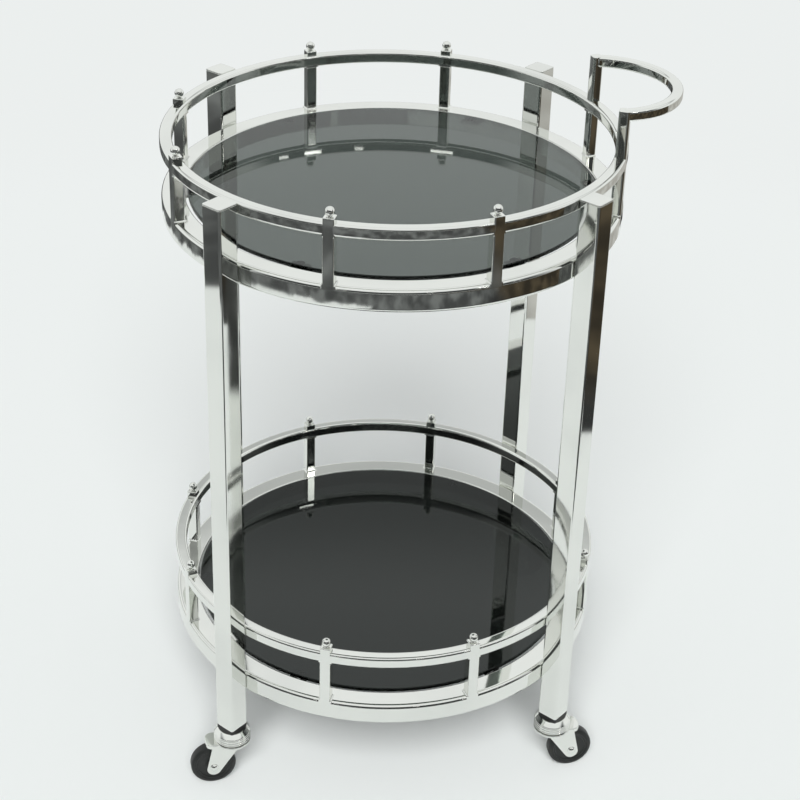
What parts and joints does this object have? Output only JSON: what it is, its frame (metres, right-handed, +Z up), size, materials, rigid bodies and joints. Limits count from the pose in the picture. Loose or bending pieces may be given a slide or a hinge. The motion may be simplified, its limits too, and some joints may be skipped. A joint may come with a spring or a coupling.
{
  "type": "bar cart",
  "caption": "Round tiered bar cart in polished square tube, with smoked glass shelves, guard rails with ball finials, a bowed push handle and swivel casters.",
  "frame": {"origin": "middle of the footprint box, on the floor under the wheels", "axes": "+Z up; +X towards the push handle; -Y towards the viewer"},
  "size_m": [0.582, 0.522, 0.8185],
  "materials": {
    "chrome": "mirror polished",
    "smoked_glass": "dark smoked, polished",
    "black_tyre": "satin",
    "black_plastic": "moulded",
    "clear_pad": "soft, cloudy",
    "bright_steel": "bare, bright"
  },
  "bodies": {
    "frame": {"caster_cup_back_left": "chrome", "caster_cup_back_right": "chrome", "caster_cup_front_left": "chrome", "caster_cup_front_right": "chrome", "leg_back_left": "chrome", "leg_back_right": "chrome", "leg_caps": "chrome", "leg_front_left": "chrome", "leg_front_right": "chrome", "leg_plugs": "black_plastic", "lower_finials": "chrome", "lower_glass_pads": "clear_pad", "lower_glass_tabs": "chrome", "lower_guard_rail": "chrome", "lower_post_back_left": "chrome", "lower_post_back_right": "chrome", "lower_post_front_left": "chrome", "lower_post_front_right": "chrome", "lower_post_left_back": "chrome", "lower_post_left_front": "chrome", "lower_post_right_back": "chrome", "lower_post_right_front": "chrome", "lower_tray_ring": "chrome", "push_handle": "chrome", "upper_finials": "chrome", "upper_glass_pads": "clear_pad", "upper_glass_tabs": "chrome", "upper_guard_rail": "chrome", "upper_post_back_left": "chrome", "upper_post_back_right": "chrome", "upper_post_front_left": "chrome", "upper_post_front_right": "chrome", "upper_post_left_back": "chrome", "upper_post_left_front": "chrome", "upper_tray_ring": "chrome"},
    "upper_shelf": {"upper_glass": "smoked_glass"},
    "lower_shelf": {"lower_glass": "smoked_glass"},
    "swivel_front_left": {"caster_balls_front_left": "bright_steel", "caster_fork_front_left": "chrome", "caster_axle_front_left": "chrome"},
    "wheel_front_left": {"caster_wheel_front_left": "black_plastic", "caster_tyre_front_left": "black_tyre"},
    "swivel_front_right": {"caster_balls_front_right": "bright_steel", "caster_fork_front_right": "chrome", "caster_axle_front_right": "chrome"},
    "wheel_front_right": {"caster_wheel_front_right": "black_plastic", "caster_tyre_front_right": "black_tyre"},
    "swivel_back_left": {"caster_balls_back_left": "bright_steel", "caster_fork_back_left": "chrome", "caster_axle_back_left": "chrome"},
    "wheel_back_left": {"caster_wheel_back_left": "black_plastic", "caster_tyre_back_left": "black_tyre"},
    "swivel_back_right": {"caster_balls_back_right": "bright_steel", "caster_fork_back_right": "chrome", "caster_axle_back_right": "chrome"},
    "wheel_back_right": {"caster_wheel_back_right": "black_plastic", "caster_tyre_back_right": "black_tyre"}
  },
  "joints": [
    {"name": "upper_shelf_lift", "type": "slide", "parent": "frame", "child": "upper_shelf", "axis": [0, 0, 1], "range_m": [0, 0.15]},
    {"name": "lower_shelf_lift", "type": "slide", "parent": "frame", "child": "lower_shelf", "axis": [0, 0, 1], "range_m": [0, 0.15]},
    {"name": "swivel_front_left", "type": "hinge", "parent": "frame", "child": "swivel_front_left", "pos_m": [-0.22378, -0.19378, 0.065], "axis": [0, 0, 1], "continuous": true},
    {"name": "roll_front_left", "type": "hinge", "parent": "swivel_front_left", "child": "wheel_front_left", "pos_m": [-0.24755, -0.19712, 0.027], "axis": [0.1392, -0.9903, 0], "continuous": true},
    {"name": "swivel_front_right", "type": "hinge", "parent": "frame", "child": "swivel_front_right", "pos_m": [0.16378, -0.19378, 0.065], "axis": [0, 0, 1], "continuous": true},
    {"name": "roll_front_right", "type": "hinge", "parent": "swivel_front_right", "child": "wheel_front_right", "pos_m": [0.18755, -0.19044, 0.027], "axis": [-0.1392, 0.9903, 0], "continuous": true},
    {"name": "swivel_back_left", "type": "hinge", "parent": "frame", "child": "swivel_back_left", "pos_m": [-0.22378, 0.19378, 0.065], "axis": [0, 0, 1], "continuous": true},
    {"name": "roll_back_left", "type": "hinge", "parent": "swivel_back_left", "child": "wheel_back_left", "pos_m": [-0.24755, 0.19712, 0.027], "axis": [-0.1392, -0.9903, 0], "continuous": true},
    {"name": "swivel_back_right", "type": "hinge", "parent": "frame", "child": "swivel_back_right", "pos_m": [0.16378, 0.19378, 0.065], "axis": [0, 0, 1], "continuous": true},
    {"name": "roll_back_right", "type": "hinge", "parent": "swivel_back_right", "child": "wheel_back_right", "pos_m": [0.18755, 0.19044, 0.027], "axis": [0.1392, 0.9903, 0], "continuous": true}
  ]
}
